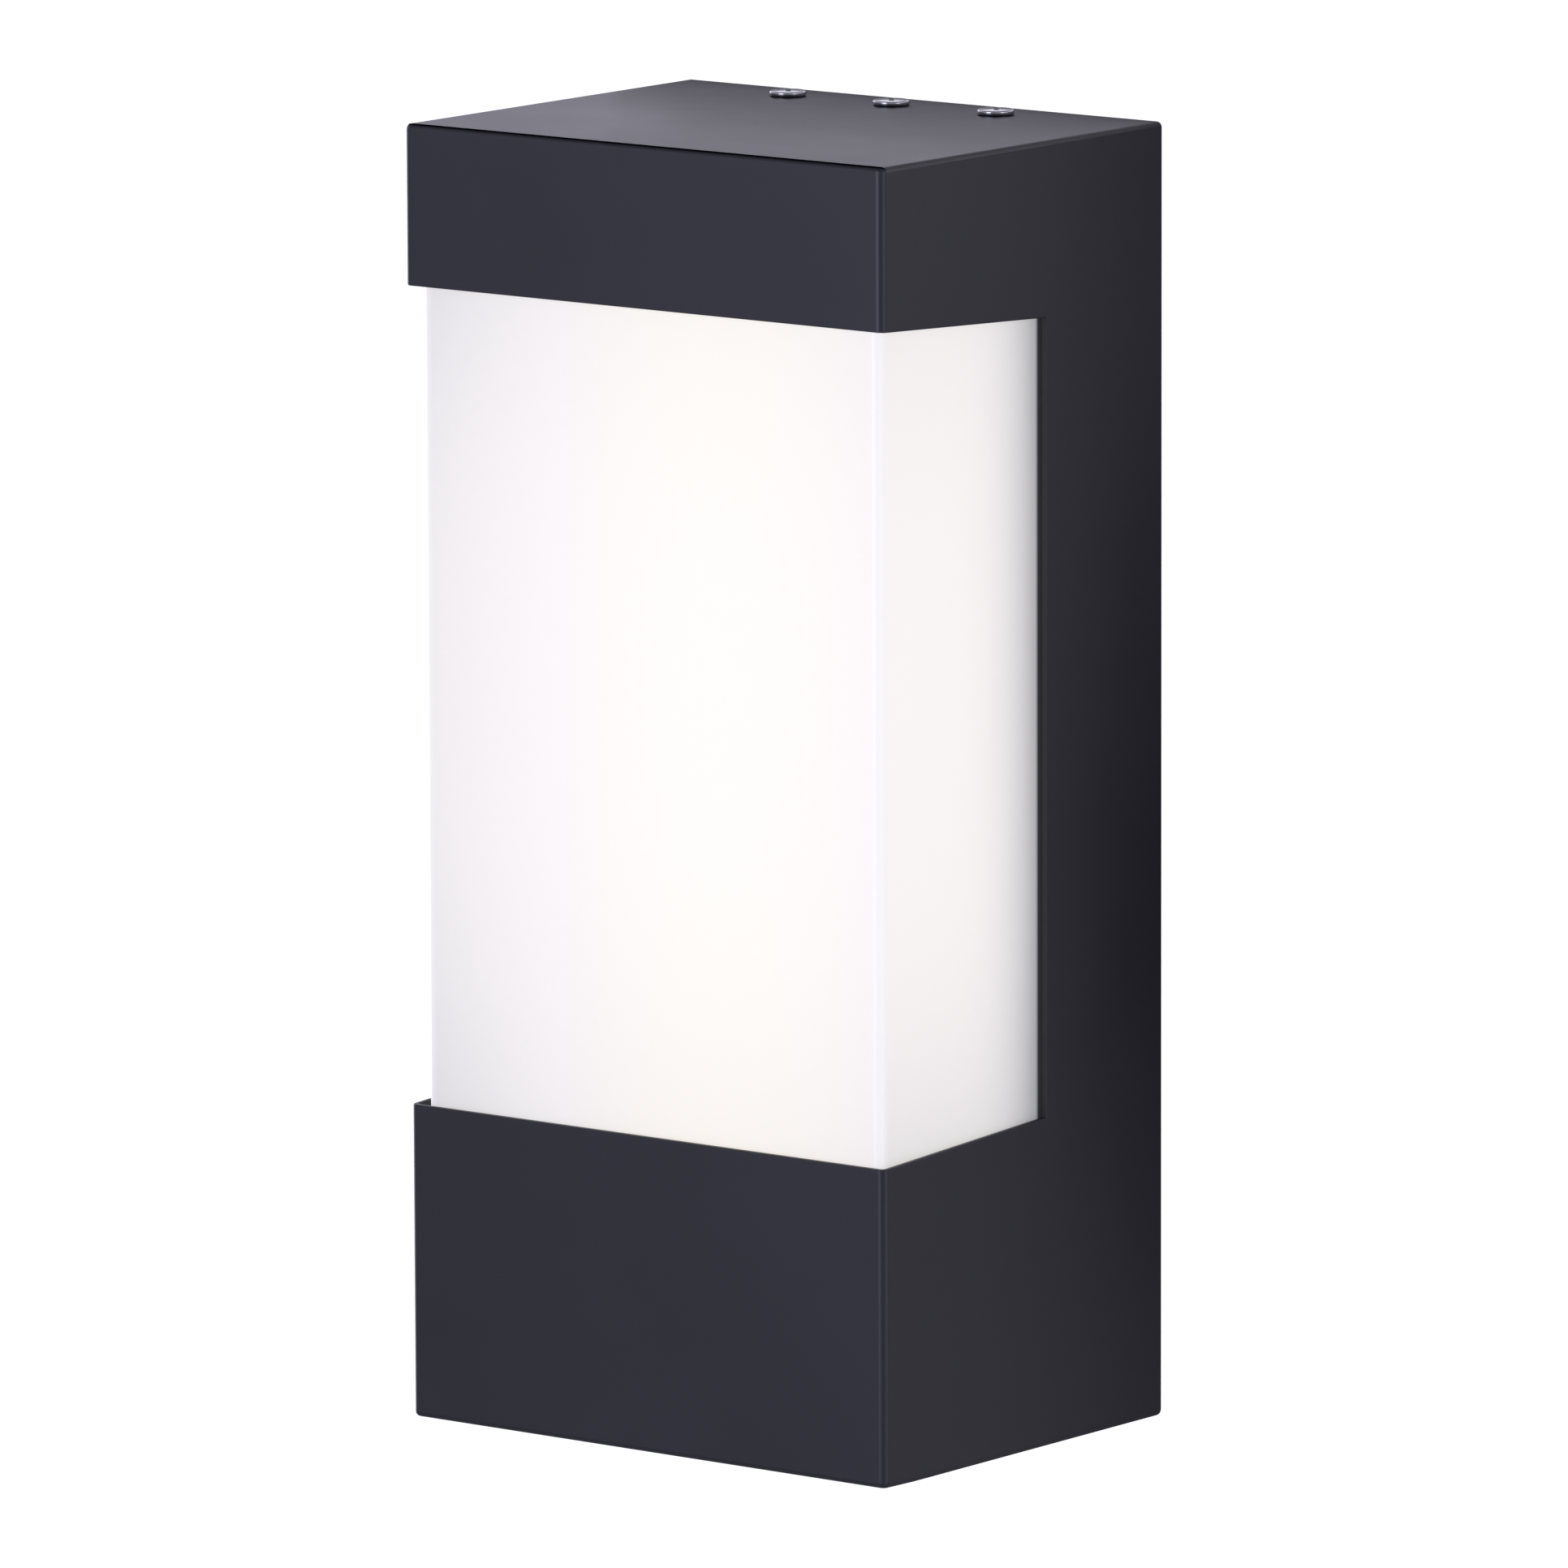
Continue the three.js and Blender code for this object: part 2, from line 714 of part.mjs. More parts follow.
// Earth lug and its screw, on the back of the chassis beside the terminal block.
const lugFront = webBack + seat;
const barrelRadius = leadRadius + gap + lugBarrelWall;
const barrelTop = blockMiddle - 2 * lugRing;
const barrelY = lugFront + barrelRadius;
{
  let body = rod(lugRing, lugThick, "y", earthReach, lugFront, blockMiddle);
  body = body.add(
    block(
      earthReach - barrelRadius,
      earthReach + barrelRadius,
      lugFront,
      lugFront + lugThick,
      barrelTop - lugBarrelWall,
      blockMiddle,
    ),
  );
  body = body.subtract(
    rod(smallScrewRadius + gap, lugThick + 2 * past, "y", earthReach, lugFront - past, blockMiddle),
  );
  body = body.add(rod(barrelRadius, lugBarrel, "-z", earthReach, barrelY, barrelTop));
  body = body.subtract(
    rod(leadRadius + gap, lugBarrel + 2 * past, "-z", earthReach, barrelY, barrelTop + past, 16),
  );
  add("earth_lug", body, finishes.zincSteel);
  const headY = lugFront + lugThick + seat;
  add("earth_screw", smallScrew("y", earthReach, headY, blockMiddle), finishes.brass);
}

// Rubber grommets where the leads pass through the chassis.
for (const [name, [x, z]] of Object.entries(leadHoles)) {
  const outer = leadGrommetBore + leadGrommetWall;
  const lip = leadGrommetRadius;
  const groove = chassisSheet + 2 * seat;
  const profile = [
    [leadGrommetBore, 0],
    [lip, 0],
    [lip, leadGrommetLip],
    [outer, leadGrommetLip],
    [outer, leadGrommetLip + groove],
    [lip, leadGrommetLip + groove],
    [lip, 2 * leadGrommetLip + groove],
    [leadGrommetBore, 2 * leadGrommetLip + groove],
    [leadGrommetBore, 0],
  ];
  const grommet = turned(profile, "y", x, webFront - seat - leadGrommetLip, z, 20);
  add(`lead_grommet_${name}`, grommet, finishes.rubber);
}

// Leads. The last stretch of each driver lead passes forward through the chassis, then down into the driver.
const behind = webBack + 4 * leadRadius;
const intoDriver = (x, z) => [
  [x, behind, z],
  [x, webFront - 3 * leadRadius, z],
  [x, (webFront + portY) / 2, z - leadRadius],
  [x, portY, driverTop + 1.5 * leadRadius],
  [x, portY, driverTop - driverWall - 2 * leadRadius],
];
const boardLeads = { red: -1, black: 1 };
for (const [colour, side] of Object.entries(boardLeads)) {
  const x = side * leadSpread;
  const socketY = boardFront - seat - connector.depth / 2;
  const [, boardZ] = leadHoles.board;
  const [outX, outZ] = leadHoles.output;
  const apart = side * 2 * leadSpread;
  const points = [
    [x, socketY, connectorBottom + connector.height / 2 - gap],
    [x, socketY, connectorBottom - 3 * leadRadius],
    [x, socketY, (connectorBottom + boardZ) / 2],
    [x, webFront - 2 * leadRadius, boardZ],
    [x, webBack + 2 * leadRadius, boardZ],
    [x + outX / 3, behind, (2 * boardZ + outZ) / 3 + apart],
    [x + (outX * 2) / 3, behind, (boardZ + 2 * outZ) / 3 + apart],
    ...intoDriver(outX + x, outZ),
  ];
  add(`board_lead_${colour}`, lead(points, leadRadius), finishes[`${colour}Lead`]);
}
const supplyLeads = { black: -1, white: 1 };
Object.entries(supplyLeads).forEach(([colour, side], i) => {
  const [inX, inZ] = leadHoles.input;
  const x = inX + side * leadSpread;
  const points = [
    [poleXs[i], blockPortY, blockMiddle],
    [poleXs[i], blockPortY, blockBottom - 3 * leadRadius],
    [(2 * poleXs[i] + x) / 3, blockPortY, (2 * blockBottom + inZ) / 3],
    [(poleXs[i] + 2 * x) / 3, blockPortY, (blockBottom + 2 * inZ) / 3],
    ...intoDriver(x, inZ),
  ];
  add(`driver_lead_${colour}`, lead(points, leadRadius), finishes[`${colour}Lead`]);
});
{
  const x = poleXs[2];
  const low = barrelTop - lugBarrel;
  const sag = low - 8 * leadRadius;
  const points = [
    [x, blockPortY, blockMiddle],
    [x, blockPortY, blockBottom - 3 * leadRadius],
    [(2 * x + earthReach) / 3, (blockPortY + barrelY) / 2, sag],
    [(x + 2 * earthReach) / 3, barrelY, sag],
    [earthReach, barrelY, low - 4 * leadRadius],
    [earthReach, barrelY, low - leadRadius],
    [earthReach, barrelY, low + leadRadius],
    [earthReach, barrelY, barrelTop - leadRadius],
  ];
  add("earth_lead", lead(points, leadRadius), finishes.greenLead);
}
export default lantern;
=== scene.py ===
# %% [markdown]
# # An outdoor wall lantern
# The lantern is a black folded-steel housing, shaped like a C from the side, around a lit box of opal plastic.
# Its solids come from the packed frame, so every size is already right when this script starts.
# This lesson adds what the solids leave out: rounded edges, threads, chips on the light board, and finishes.

# %% Load the frame
import json
import math

import bmesh
import bpy
from mathutils import Matrix, Vector

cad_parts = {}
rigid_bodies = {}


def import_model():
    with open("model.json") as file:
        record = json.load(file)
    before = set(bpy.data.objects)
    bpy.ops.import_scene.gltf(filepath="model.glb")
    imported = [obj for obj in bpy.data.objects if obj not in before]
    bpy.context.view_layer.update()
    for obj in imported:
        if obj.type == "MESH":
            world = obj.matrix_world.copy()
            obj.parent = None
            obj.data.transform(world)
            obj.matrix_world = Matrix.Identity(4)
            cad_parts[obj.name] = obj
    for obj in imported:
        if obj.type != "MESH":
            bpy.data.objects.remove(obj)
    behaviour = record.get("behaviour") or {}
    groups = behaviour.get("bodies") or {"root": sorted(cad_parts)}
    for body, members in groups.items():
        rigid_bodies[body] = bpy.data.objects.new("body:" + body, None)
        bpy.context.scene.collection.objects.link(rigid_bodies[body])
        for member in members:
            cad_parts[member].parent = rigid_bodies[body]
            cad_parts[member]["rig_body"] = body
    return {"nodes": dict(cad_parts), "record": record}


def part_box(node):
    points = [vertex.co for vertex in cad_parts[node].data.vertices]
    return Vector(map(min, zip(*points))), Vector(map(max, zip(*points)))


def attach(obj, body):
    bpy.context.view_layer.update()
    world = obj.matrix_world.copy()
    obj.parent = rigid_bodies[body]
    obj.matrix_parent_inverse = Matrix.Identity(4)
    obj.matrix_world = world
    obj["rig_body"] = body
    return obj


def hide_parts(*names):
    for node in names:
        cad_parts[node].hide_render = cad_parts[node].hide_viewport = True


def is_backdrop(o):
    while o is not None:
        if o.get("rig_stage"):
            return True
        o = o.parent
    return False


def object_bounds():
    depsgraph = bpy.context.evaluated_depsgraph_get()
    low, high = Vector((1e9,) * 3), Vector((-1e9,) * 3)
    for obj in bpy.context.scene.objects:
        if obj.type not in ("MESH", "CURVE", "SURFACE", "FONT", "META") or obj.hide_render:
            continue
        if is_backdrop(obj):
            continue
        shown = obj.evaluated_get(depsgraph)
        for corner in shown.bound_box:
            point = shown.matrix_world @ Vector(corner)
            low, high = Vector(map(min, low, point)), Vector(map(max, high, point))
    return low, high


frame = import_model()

MM = 0.001
cad_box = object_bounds()
lantern_low, lantern_high = (Vector(corner) for corner in cad_box)
print("lantern box in mm:", [round(v / MM, 1) for v in (*lantern_low, *lantern_high)])

# %% [markdown]
# ## The camera
# A product picture is taken from far away with a long lens, so that upright edges stay nearly parallel.
# The camera could be aimed with a Track To constraint, but building its axes by hand also gives the small roll.
# It leaves plain numbers to read: a heading round the lantern, a pitch down to it, and a distance.

# %% Camera
heading = math.radians(37.77)
pitch = math.radians(9.42)
roll = math.radians(-0.19)
distance = 3.396
lens = 364.8
sensor = 36
aim_offset = (0.00017, 0.0023)

plate_low, plate_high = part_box("top_plate")
foot_low, foot_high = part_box("bottom_plate")
aim = Vector((0, (plate_low.y + plate_high.y) / 2, (plate_high.z + foot_low.z) / 2))
ahead = Vector((-math.sin(heading), math.cos(heading), 0))
look = ahead * math.cos(pitch) - Vector((0, 0, math.sin(pitch)))
level = Vector((math.cos(heading), math.sin(heading), 0))
upright = level.cross(look)
right = level * math.cos(roll) + upright * math.sin(roll)
above = upright * math.cos(roll) - level * math.sin(roll)

camera_data = bpy.data.cameras.new("product_camera")
camera_data.lens = lens
camera_data.sensor_width = sensor
camera_data.clip_end = 100
camera = bpy.data.objects.new("product_camera", camera_data)
bpy.context.scene.collection.objects.link(camera)
axes = Matrix((right, above, -look)).transposed().to_4x4()
place = aim - look * distance - right * aim_offset[0] - above * aim_offset[1]
camera.matrix_world = Matrix.Translation(place) @ axes
bpy.context.scene.camera = camera
print("camera stands at", [round(v, 3) for v in place])

# %% [markdown]
# ## Shader maths as Python
# A node tree for a finish is mostly small sums: a noise times a number, one mask taken from another.
# They could be wired node by node, but then the sum is hidden in the wiring.
# Instead one small class wraps a socket, so that `0.4 + 0.1 * grain` adds the two Math nodes by itself.
# The reflected forms (`__radd__` and the rest) let the plain number come first.

# %% A socket that does sums
class Signal:
    """One number that varies over a surface: the output socket of some node."""

    def __init__(self, finish, socket):
        self.finish = finish
        self.socket = socket

    def sum(self, operation, *values):
        return self.finish.node("ShaderNodeMath", {"operation": operation}, dict(enumerate(values)))

    def __add__(self, other):
        return self.sum("ADD", self, other)

    def __radd__(self, other):
        return self.sum("ADD", other, self)

    def __sub__(self, other):
        return self.sum("SUBTRACT", self, other)

    def __rsub__(self, other):
        return self.sum("SUBTRACT", other, self)

    def __mul__(self, other):
        return self.sum("MULTIPLY", self, other)

    def __rmul__(self, other):
        return self.sum("MULTIPLY", other, self)

    def __truediv__(self, other):
        return self.sum("DIVIDE", self, other)

    def power(self, exponent):
        return self.sum("POWER", self, exponent)

    def size(self):
        return self.sum("ABSOLUTE", self)

    def exponential(self):
        return self.sum("EXPONENT", self)

    def sine(self):
        return self.sum("SINE", self)

    def held(self, lowest, highest):
        return self.sum("MINIMUM", self.sum("MAXIMUM", self, lowest), highest)

    def between(self, start, end):
        """0 below start, 1 above end, and a smooth step from one to the other."""
        settings = {"interpolation_type": "SMOOTHSTEP", "clamp": True}
        sockets = {"Value": self, "From Min": start, "From Max": end}
        return self.finish.node("ShaderNodeMapRange", settings, sockets)


print("a socket can do:", [name for name in vars(Signal) if not name.startswith("__")])

# %% [markdown]
# ## A finish
# Every finish is a Principled shader. A few numbers are set on its own sockets, and nodes feed what varies.
# One method, `node`, makes any node. Its settings go in first, because a Math node's operation decides what its
# sockets mean, and then its sockets get numbers or links.
# Texture coordinates come from the object itself, in metres, so a grain keeps its true size on every piece.

# %% The finish class
class NodeMaker:
    """Makes nodes in one tree, with `place` as the coordinate that they vary over."""

    def __init__(self, tree, coordinate):
        self.tree = tree
        self.place = self.node("ShaderNodeTexCoord", output=coordinate)

    def node(self, kind, settings=None, sockets=None, output=0):
        made = self.tree.nodes.new(kind)
        for key, value in (settings or {}).items():
            setattr(made, key, value)
        for key, value in (sockets or {}).items():
            if isinstance(value, Signal):
                self.tree.links.new(value.socket, made.inputs[key])
            else:
                made.inputs[key].default_value = value
        return Signal(self, made.outputs[output])

    def axis(self, letter):
        return self.node("ShaderNodeSeparateXYZ", sockets={0: self.place}, output=letter)

    def noise(self, feature, detail=2.0, place=None):
        """Soft noise whose lumps are about `feature` metres across."""
        sockets = {"Vector": place or self.place, "Scale": 1 / feature, "Detail": detail}
        return self.node("ShaderNodeTexNoise", sockets=sockets)

    def cells(self, feature, output="Distance"):
        """Cells about `feature` metres across."""
        sockets = {"Vector": self.place, "Scale": 1 / feature}
        return self.node("ShaderNodeTexVoronoi", sockets=sockets, output=output)

    def stretched(self, x, y, z):
        """The place with each axis multiplied, which draws a noise out into streaks."""
        return self.node("ShaderNodeVectorMath", {"operation": "MULTIPLY"}, {0: self.place, 1: (x, y, z)})

    def blend(self, amount, first, second):
        """A colour that goes from first to second as amount goes from 0 to 1."""
        settings = {"data_type": "RGBA"}
        ends = [(*c, 1) if isinstance(c, tuple) else c for c in (first, second)]
        return self.node("ShaderNodeMix", settings, {0: amount, 6: ends[0], 7: ends[1]}, output=2)


class Finish(NodeMaker):
    """A Principled material whose varying sockets are fed from nodes."""

    def __init__(self, name, **constants):
        self.material = bpy.data.materials.new(name)
        self.material.use_nodes = True
        super().__init__(self.material.node_tree, "Object")
        self.shader = next(n for n in self.tree.nodes if n.type == "BSDF_PRINCIPLED")
        for socket, value in constants.items():
            self.shader.inputs[socket.replace("_", " ")].default_value = value

    def feed(self, socket, signal):
        self.tree.links.new(signal.socket, self.shader.inputs[socket])

    def bump(self, height, depth, strength=1.0):
        """Raises the surface by up to `depth` metres where height is 1."""
        sockets = {"Height": height, "Distance": depth, "Strength": strength}
        self.feed("Normal", self.node("ShaderNodeBump", sockets=sockets))


print("a finish can make:", [name for name in vars(NodeMaker) if not name.startswith("__")])

# %% [markdown]
# ## The satin black coat
# The housing is powder coated: a plastic powder is baked on, and it flows out into a skin that is nearly smooth.
# Close up it keeps a fine orange peel, and the gloss drifts a little from place to place where hands have been.
# A plain dark Principled would give the colour but would look like vinyl. So the peel goes into the bump, and
# the drift goes into the roughness and very slightly into the colour.

# %% Satin black coat
peel_size, speck_size, drift_size = 0.7 * MM, 0.16 * MM, 38 * MM
peel_depth = 0.010 * MM


def satin_coat():
    coat = Finish("satin_black_coat", IOR=1.5)
    peel = coat.noise(peel_size, detail=3)
    speck = coat.noise(speck_size, detail=2)
    drift = coat.noise(drift_size, detail=3)
    tint = 0.7 * drift + 0.3 * peel
    coat.feed("Base Color", coat.blend(tint, (0.0102, 0.0097, 0.0150), (0.0146, 0.0139, 0.0212)))
    coat.feed("Roughness", 0.36 + 0.10 * drift + 0.05 * speck)
    coat.bump(0.7 * peel + 0.3 * speck, peel_depth, 0.6)
    return coat.material


black_coat = satin_coat()
print(black_coat.name, "has", len(black_coat.node_tree.nodes), "nodes")

# %% [markdown]
# ## The lit opal plastic
# The box is moulded from opal plastic, which scatters the light of the board behind it.
# Real scattering could be traced through the plastic, but that is slow and grainy, and an export loses it.
# What the eye sees is simple. The wall facing the board is brightest a little above its middle, and the corners
# are a touch cooler and darker. The side walls fall off towards the spine, where the light only grazes them, and
# the narrow gap behind the spine's edge lies in shade. So the glow, with a painted shadow in that gap, is worked
# out from the place on the box and goes to Emission Color. The room light that the plastic reflects makes up the
# rest of what is seen.

# %% Lit opal plastic
tucked_in_spine = 6 * MM
graze_reach, graze_loss = 9.7 * MM, 0.46
bright_offset = (18 * MM, 5 * MM)
half_width, half_height = 78 * MM, 98 * MM
corner_start = 2.8 * MM
# Width over which the painted shadow in the gap behind the spine fades in.
gap_shadow_fade = 0.9 * MM


def opal_plastic():
    opal = Finish("lit_opal_plastic", IOR=1.46, Emission_Strength=1.0)
    across, back, up = opal.axis("X"), opal.axis("Y"), opal.axis("Z")
    box_low, box_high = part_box("diffuser")
    board_low, board_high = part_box("led_board")
    # How far forward of the spine's edge, where the housing stops hiding the box.
    ahead = box_high.y - tucked_in_spine - back
    graze = 1 - graze_loss * (-1 * (ahead.held(0, 1) / graze_reach).power(1.34)).exponential()
    # How far from the brightest place, sideways and along the board.
    bright_x = bright_offset[0]
    bright_z = (board_low.z + board_high.z) / 2 + bright_offset[1]
    sideways = ((across - bright_x) / half_width).power(2)
    lengthways = ((up - bright_z) / half_height).size().power(2.6)
    facing = 1.027 - 0.15 * sideways - 0.07 * lengthways - 0.10 * sideways * lengthways
    # The lower end of the side walls gets the least light.
    near_side = ((across.size() - box_high.x + corner_start) / corner_start).held(0, 1)
    low_end = ((bright_z - up) / half_height).held(0, 1).power(4)
    facing = facing - 0.09 * low_end * near_side
    streak = opal.noise(90 * MM, detail=2, place=opal.stretched(1.0, 1.0, 0.25))
    glow = graze * facing + 0.02 * (streak - 0.5)
    # Warm in the middle, a little cooler to the sides, and blue where little light comes through.
    middle = opal.blend(lengthways.held(0, 1), (0.855, 0.822, 0.755), (0.855, 0.810, 0.715))
    lit = opal.blend((3 * sideways).held(0, 1), middle, (0.862, 0.820, 0.795))
    own_light = ((glow - 0.2) / 0.85).held(0.02, 1.0)
    warm = opal.blend(own_light, (0.040, 0.062, 0.088), lit)
    # The front corners are painted a cooler, lavender white: a painted highlight line along each bend.
    near_front = ((box_low.y + corner_start - back) / corner_start).held(0, 1)
    with_corner_highlight = opal.blend(near_side * near_front, warm, (0.765, 0.745, 0.765))
    # Painted shadow: in the narrow gap behind the spine's edge the glow is painted nearly black.
    outside_gap_shadow = ((ahead + gap_shadow_fade) / gap_shadow_fade).held(0, 1)
    opal.feed("Emission Color", opal.blend(outside_gap_shadow, (0.010, 0.010, 0.013), with_corner_highlight))
    mould = opal.noise(3 * MM, detail=2)
    opal.feed("Base Color", opal.blend(mould, (0.23, 0.23, 0.235), (0.25, 0.25, 0.255)))
    opal.feed("Roughness", 0.32 + 0.08 * mould)
    opal.bump(mould, 0.01 * MM, 0.3)
    return opal.material


lit_opal = opal_plastic()
print(lit_opal.name, "has", len(lit_opal.node_tree.nodes), "nodes")

# %% [markdown]
# ## Metals
# The three top screws are stainless, turned on a lathe and tumbled bright, so their faces hold faint rings.
# The wall plate, nuts, studs and inner screws are zinc plated: duller, with a mottled grain of crystals.
# Both are metallic shaders, and only the source of their roughness tells them apart. Rings are a sine of the
# distance from the piece's own axis, and crystals are Voronoi cells, each with a slightly different gloss.

# %% Metals
ring_spacing, crystal_size = 0.09 * MM, 2.2 * MM


def turned_steel():
    steel = Finish("bright_turned_steel", Metallic=1.0)
    flat = steel.stretched(1, 1, 0)
    radius = steel.node("ShaderNodeVectorMath", {"operation": "LENGTH"}, {0: flat}, output="Value")
    rings = (radius * (2 * math.pi / ring_spacing)).sine()
    wear = steel.noise(1.2 * MM, detail=3)
    steel.feed("Base Color", steel.blend(wear, (0.46, 0.46, 0.48), (0.62, 0.62, 0.63)))
    steel.feed("Roughness", 0.11 + 0.12 * wear + 0.02 * rings)
    steel.bump(0.5 + 0.5 * rings, 0.0015 * MM, 0.5)
    return steel.material


def plated(name, dark, light, gloss):
    plate = Finish(name, Metallic=1.0)
    crystal = plate.cells(crystal_size, output="Color")
    shade = plate.node("ShaderNodeSeparateColor", sockets={0: crystal})
    cloud = plate.noise(14 * MM, detail=3)
    plate.feed("Base Color", plate.blend(0.5 * shade + 0.5 * cloud, dark, light))
    plate.feed("Roughness", gloss + 0.10 * shade + 0.10 * cloud)
    plate.bump(plate.noise(0.3 * MM, detail=2), 0.004 * MM, 0.5)
    return plate.material


bright_steel = turned_steel()
zinc_steel = plated("zinc_plated_steel", (0.42, 0.44, 0.45), (0.60, 0.62, 0.62), 0.30)
brass = plated("plain_brass", (0.52, 0.38, 0.14), (0.70, 0.54, 0.24), 0.24)
print("metals:", [metal.name for metal in (bright_steel, zinc_steel, brass)])

# %% [markdown]
# ## Plastics, rubber and foam
# The parts behind the housing are moulded or cut, and each has one telling texture. Moulded plastic has the fine
# pebble of its spark-eroded mould, foam has small cells in its cut faces, and rubber has a dull bloom.
# One function covers the moulded parts, because they differ only in colour, grain and gloss.

# %% Plastics, rubber and foam
def moulded(name, dark, light, grain=0.35 * MM, depth=0.02 * MM, gloss=0.45):
    part = Finish(name, IOR=1.48)
    pebble = part.noise(grain, detail=3)
    flow = part.noise(25 * MM, detail=2)
    part.feed("Base Color", part.blend(0.4 * pebble + 0.6 * flow, dark, light))
    part.feed("Roughness", gloss + 0.14 * pebble)
    part.bump(pebble, depth, 0.5)
    return part.material


def cell_foam():
    foam = Finish("closed_cell_foam", IOR=1.35)
    wall = foam.cells(0.55 * MM)
    small = foam.cells(0.2 * MM)
    skin = 0.65 * wall + 0.35 * small
    foam.feed("Base Color", foam.blend(skin, (0.022, 0.022, 0.023), (0.085, 0.085, 0.088)))
    foam.feed("Roughness", 0.78 + 0.2 * skin)
    foam.bump(skin, 0.12 * MM, 0.8)
    return foam.material


materials = {
    "black_coat": black_coat,
    "opal": lit_opal,
    "bright_steel": bright_steel,
    "zinc_steel": zinc_steel,
    "brass": brass,
    "foam": cell_foam(),
}
fine_grain, mask_grain, rubber_grain = 0.5 * MM, 0.2 * MM, 0.8 * MM
moulded_finishes = {
    "white_steel": ("white_coated_steel", (0.70, 0.70, 0.67), (0.80, 0.80, 0.77), fine_grain, 0.008 * MM, 0.36),
    "board_white": ("white_board_mask", (0.74, 0.76, 0.72), (0.84, 0.86, 0.82), mask_grain, 0.004 * MM, 0.30),
    "driver_plastic": ("driver_case_plastic", (0.58, 0.59, 0.56), (0.66, 0.67, 0.64)),
    "rubber": ("black_rubber", (0.010,) * 3, (0.022,) * 3, rubber_grain, 0.015 * MM, 0.62),
}
smooth_finishes = {
    "red_lead": ("red_insulation", (0.34, 0.015, 0.012), (0.44, 0.03, 0.02)),
    "black_lead": ("black_insulation", (0.008,) * 3, (0.016,) * 3),
    "white_lead": ("white_insulation", (0.66, 0.66, 0.63), (0.76, 0.76, 0.73)),
    "green_lead": ("green_insulation", (0.015, 0.13, 0.035), (0.03, 0.20, 0.06)),
}
for slot, words in moulded_finishes.items():
    materials[slot] = moulded(*words)
for slot, words in smooth_finishes.items():
    materials[slot] = moulded(*words, gloss=0.30)
materials["block_plastic"] = moulded("natural_nylon", (0.56, 0.52, 0.42), (0.66, 0.62, 0.51), gloss=0.38)
slot_of = {entry["node"]: entry["material_slot"] for entry in frame["record"]["subparts"]}
for name, node in frame["nodes"].items():
    node.data.materials.clear()
    node.data.materials.append(materials[slot_of[name]])
print(len(materials), "finishes on", len(frame["nodes"]), "nodes")

# %% [markdown] ## A piece that stands for a node The frame's nodes are never changed. These small helpers
# do it, so that no piece is forgotten. Modifiers are applied at once, because a finished mesh gives the
# same result in every pose.

# %% Helpers for finished pieces
def body_of(node):
    return frame["nodes"][node]["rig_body"]


def settle(piece, node):
    """Gives a finished piece its material, body and slot, and lets it stand for its node."""
    piece.data.materials.clear()
    piece.data.materials.append(materials[slot_of[node]])
    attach(piece, body_of(node))
    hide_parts(node)
    return piece


def shown(work, name):
    """Puts what was built in a bmesh into the scene, as an object of its own."""
    mesh = bpy.data.meshes.new(name)
    work.to_mesh(mesh)
    work.free()
    piece = bpy.data.objects.new(name, mesh)
    bpy.context.scene.collection.objects.link(piece)
    return piece


def apply_modifiers(piece):
    bpy.context.view_layer.update()
    evaluated = piece.evaluated_get(bpy.context.evaluated_depsgraph_get())
    finished = bpy.data.meshes.new_from_object(evaluated)
    piece.modifiers.clear()
    piece.data = finished
    return piece


print("bodies:", sorted({body_of(node) for node in frame["nodes"]}))

# %% [markdown]
# ## Softened edges
# Nothing made of sheet or plastic has a perfectly sharp edge. Deburring and paint leave a small radius, and that
# radius is what catches a line of light. The frame's solids have knife edges and flat triangles.
# A Bevel modifier on such a mesh trips over the triangles. So each part gets a copy that is first cleaned with a
# limited dissolve, which merges flat neighbours, and then bevelled only where two faces really meet.
# A Weighted Normal modifier then keeps the big faces flat in the light, and lets only the bevels turn.

# %% A softened copy of a node
TOUCH = 0.001 * MM


def softened(node, radius, segments=3, sharp=28, reach=(0, 0), share=None):
    """A copy of a node with rounded edges. `reach` moves its lowest rim down and its highest rim up. `share`
    gives each sharp edge a share of the radius, from 0 for an edge that stays square."""
    low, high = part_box(node)
    work = bmesh.new()
    work.from_mesh(frame["nodes"][node].data)
    bmesh.ops.remove_doubles(work, verts=work.verts, dist=TOUCH)
    bmesh.ops.dissolve_limit(work, angle_limit=math.radians(0.6), verts=work.verts, edges=work.edges)
    rounded = work.edges.layers.float.new("bevel_weight_edge")
    for edge in work.edges:
        if edge.is_manifold and edge.calc_face_angle() > math.radians(sharp):
            edge[rounded] = share(edge) if share else 1.0
            edge.smooth = edge[rounded] > 0
    for vert in work.verts:
        if vert.co.z < low.z + TOUCH:
            vert.co.z -= reach[0]
        elif vert.co.z > high.z - TOUCH:
            vert.co.z += reach[1]
    piece = shown(work, node + "_finished")
    piece.data.shade_smooth()
    bevel = piece.modifiers.new("edge radius", "BEVEL")
    bevel.width = radius
    bevel.segments = segments
    bevel.limit_method = "WEIGHT"
    bevel.use_clamp_overlap = share is None
    bevel.miter_outer = "MITER_ARC"
    weigh = piece.modifiers.new("flat faces stay flat", "WEIGHTED_NORMAL")
    weigh.keep_sharp = True
    return settle(apply_modifiers(piece), node)


